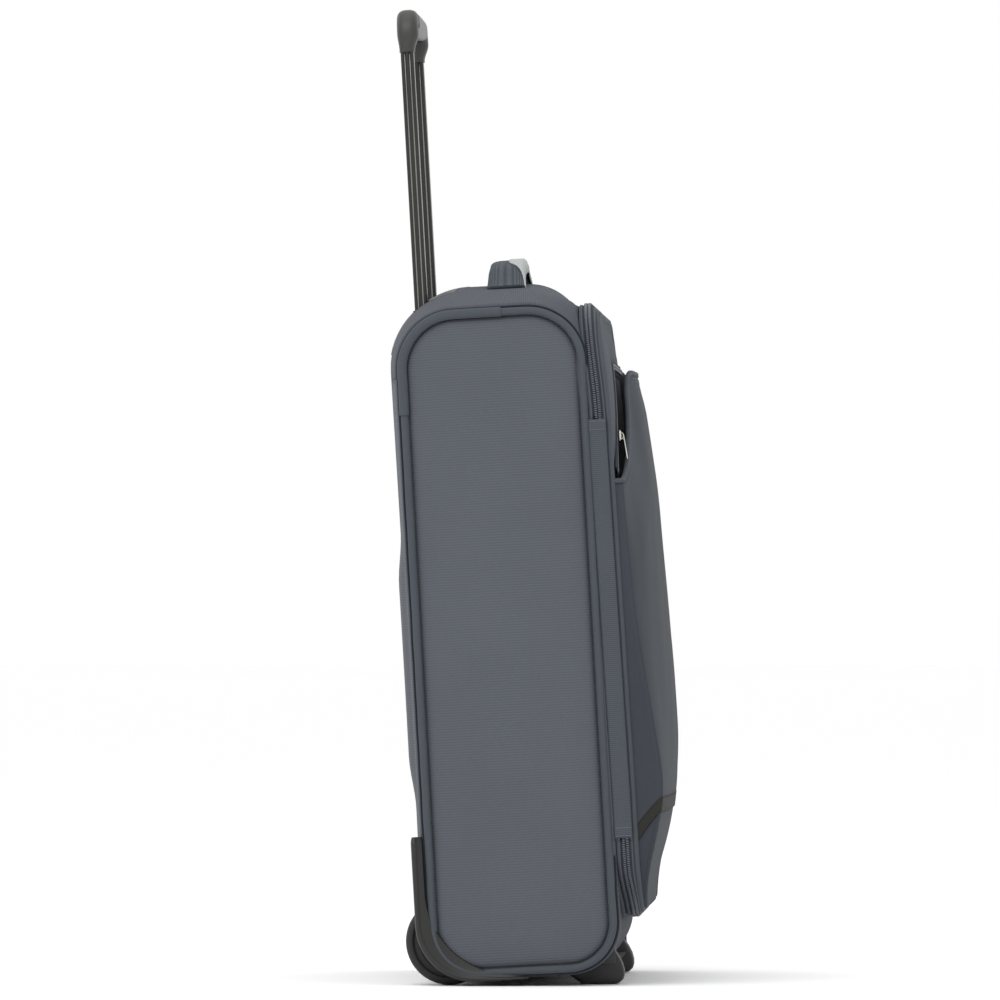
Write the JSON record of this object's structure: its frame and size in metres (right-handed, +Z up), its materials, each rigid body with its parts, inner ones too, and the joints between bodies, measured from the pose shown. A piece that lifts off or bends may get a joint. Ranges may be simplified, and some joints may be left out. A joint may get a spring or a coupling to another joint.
{
  "type": "softside upright suitcase",
  "caption": "Softside two-wheeled upright suitcase with zipped fabric-hinged lid, front pocket, carry handle and telescopic pull handle.",
  "frame": {"origin": "centre of the footprint, on the ground that the wheels and feet stand on", "axes": "+Z up, the case's front with its lid and pocket faces -Y, +X to the right seen from the front, hinge side of the lid at -X"},
  "size_m": [0.4011, 0.2167, 0.7405],
  "materials": {
    "side_fabric": "ribbed weave",
    "trim_fabric": "smooth binding",
    "lid_fabric": "ribbed weave",
    "band_fabric": "smooth webbing",
    "lining_fabric": "plain lining",
    "zip_tape": "tape and nylon coil",
    "shell_plastic": "fine grain",
    "grip_plastic": "satin",
    "grip_insert": "satin",
    "tube_paint": "gloss black anodised",
    "tyre_rubber": "matte",
    "steel": "bright",
    "zip_metal": "satin nickel"
  },
  "bodies": {
    "case_body": {"side_panel_left": "side_fabric", "side_panel_right": "side_fabric", "back_panel": "side_fabric", "top_panel": "side_fabric", "front_flange": "side_fabric", "hinge_strip": "side_fabric", "bottom_panel": "side_fabric", "piping_left": "trim_fabric", "piping_right": "trim_fabric", "corner_binding_left": "trim_fabric", "corner_binding_right": "trim_fabric", "carry_handle": "trim_fabric", "lining_back": "lining_fabric", "lining_walls": "lining_fabric", "packing_straps": "lining_fabric", "body_zip": "zip_tape", "tube_housing": "shell_plastic", "handle_base": "shell_plastic", "corner_guard_left": "shell_plastic", "corner_guard_right": "shell_plastic", "wheel_housing_left": "shell_plastic", "wheel_housing_right": "shell_plastic", "foot_left": "shell_plastic", "foot_right": "shell_plastic", "back_board": "shell_plastic", "outer_tube_left": "tube_paint", "outer_tube_right": "tube_paint", "wheel_axles": "steel", "frame_wire": "steel", "foot_screws": "steel"},
    "middle_stage": {"middle_tube_left": "tube_paint", "middle_tube_right": "tube_paint", "middle_lock_blocks": "shell_plastic"},
    "upper_stage": {"upper_tube_left": "tube_paint", "upper_tube_right": "tube_paint", "upper_lock_blocks": "shell_plastic", "grip_shell": "grip_plastic", "grip_cover": "grip_insert"},
    "grip_button_body": {"grip_button": "grip_plastic", "push_rods": "steel"},
    "wheel_left": {"tyre_left": "tyre_rubber", "hub_left": "shell_plastic"},
    "wheel_right": {"tyre_right": "tyre_rubber", "hub_right": "shell_plastic"},
    "lid": {"lid_gusset": "lid_fabric", "lid_panel": "lid_fabric", "lid_piping": "trim_fabric", "lid_zip": "zip_tape", "lid_lining": "lining_fabric", "pocket_panel": "lid_fabric", "pocket_sides": "lid_fabric", "black_band": "band_fabric", "lower_panel": "lid_fabric", "pocket_zip": "zip_tape"},
    "zip_slider_upper": {"main_slider_upper": "zip_metal"},
    "zip_slider_lower": {"main_slider_lower": "zip_metal"},
    "zip_pull_upper": {"main_pull_upper": "zip_metal"},
    "zip_pull_lower": {"main_pull_lower": "zip_metal"},
    "pocket_zip_slider": {"pocket_slider": "zip_metal"},
    "pocket_zip_pull": {"pocket_pull": "zip_metal"}
  },
  "joints": [
    {"name": "middle_stage_slide", "type": "slide", "parent": "case_body", "child": "middle_stage", "axis": [0, 0.0558, 0.9984], "range_m": [0, 0.2]},
    {"name": "upper_stage_slide", "type": "slide", "parent": "middle_stage", "child": "upper_stage", "axis": [0, 0.0558, 0.9984], "range_m": [-0.181, 0]},
    {"name": "grip_button_press", "type": "slide", "parent": "upper_stage", "child": "grip_button_body", "axis": [0, -0.0558, -0.9984], "range_m": [0, 0.0035], "stiffness_N_per_m": 800, "springref_m": -0.002},
    {"name": "wheel_left_spin", "type": "hinge", "parent": "case_body", "child": "wheel_left", "pos_m": [-0.166, 0.0605, 0.033], "axis": [1, 0, 0], "continuous": true},
    {"name": "wheel_right_spin", "type": "hinge", "parent": "case_body", "child": "wheel_right", "pos_m": [0.166, 0.0605, 0.033], "axis": [1, 0, 0], "continuous": true},
    {"name": "lid_hinge", "type": "hinge", "parent": "case_body", "child": "lid", "pos_m": [-0.198, -0.06121, 0.26816], "axis": [0, -0.0558, -0.9984], "range_deg": [0, 170], "deforming": ["hinge_strip"]},
    {"name": "zip_slider_upper_slide", "type": "slide", "parent": "case_body", "child": "zip_slider_upper", "axis": [0, 0.0558, 0.9984], "range_m": [0, 0.12]},
    {"name": "zip_slider_lower_slide", "type": "slide", "parent": "case_body", "child": "zip_slider_lower", "axis": [0, -0.0558, -0.9984], "range_m": [0, 0.17]},
    {"name": "zip_pull_upper_swing", "type": "hinge", "parent": "zip_slider_upper", "child": "zip_pull_upper", "pos_m": [0.2005, -0.05805, 0.32207], "axis": [0, -0.9984, 0.0558], "range_deg": [0, 120]},
    {"name": "zip_pull_lower_swing", "type": "hinge", "parent": "zip_slider_lower", "child": "zip_pull_lower", "pos_m": [0.2005, -0.05956, 0.29511], "axis": [0, -0.9984, 0.0558], "range_deg": [0, 120]},
    {"name": "pocket_slider_slide", "type": "slide", "parent": "lid", "child": "pocket_zip_slider", "axis": [0.7936, 0.034, 0.6075], "range_m": [-0.015, 0.075]},
    {"name": "pocket_pull_swing", "type": "hinge", "parent": "pocket_zip_slider", "child": "pocket_zip_pull", "pos_m": [-0.145, -0.07195, 0.41379], "axis": [-0.6084, 0.0443, 0.7924], "range_deg": [0, 130]}
  ]
}
